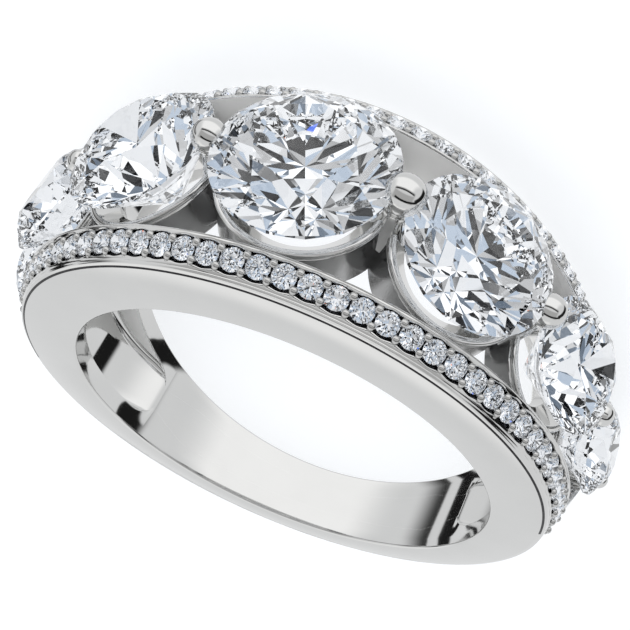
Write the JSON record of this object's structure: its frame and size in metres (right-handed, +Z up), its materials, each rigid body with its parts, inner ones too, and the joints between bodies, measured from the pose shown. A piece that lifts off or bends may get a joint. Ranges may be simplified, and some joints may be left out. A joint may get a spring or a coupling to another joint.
{
  "type": "diamond wedding ring",
  "caption": "Polished white-metal ring, widest at the top, with graduated round stones in open cups between two rails that carry rows of small stones.",
  "frame": {"origin": "middle of the ring's footprint on the surface that it lies on, on its rear side face", "axes": "+Z up, square to the rear side face; the centre stone points along -Y; +X to the left as the front side face is looked at with the centre stone up; the finger axis leans 9 degrees from +Z towards +Y"},
  "size_m": [0.0244, 0.0234, 0.0091],
  "materials": {
    "white_gold": "polished",
    "diamond": "faceted, polished",
    "small_diamond": "faceted, polished"
  },
  "bodies": {
    "root": {"ring_mount": "white_gold", "centre_stone": "diamond", "left_stone_1": "diamond", "right_stone_1": "diamond", "left_stone_2": "diamond", "right_stone_2": "diamond", "left_stone_3": "diamond", "right_stone_3": "diamond", "front_pave_stones": "small_diamond", "rear_pave_stones": "small_diamond"}
  },
  "joints": []
}
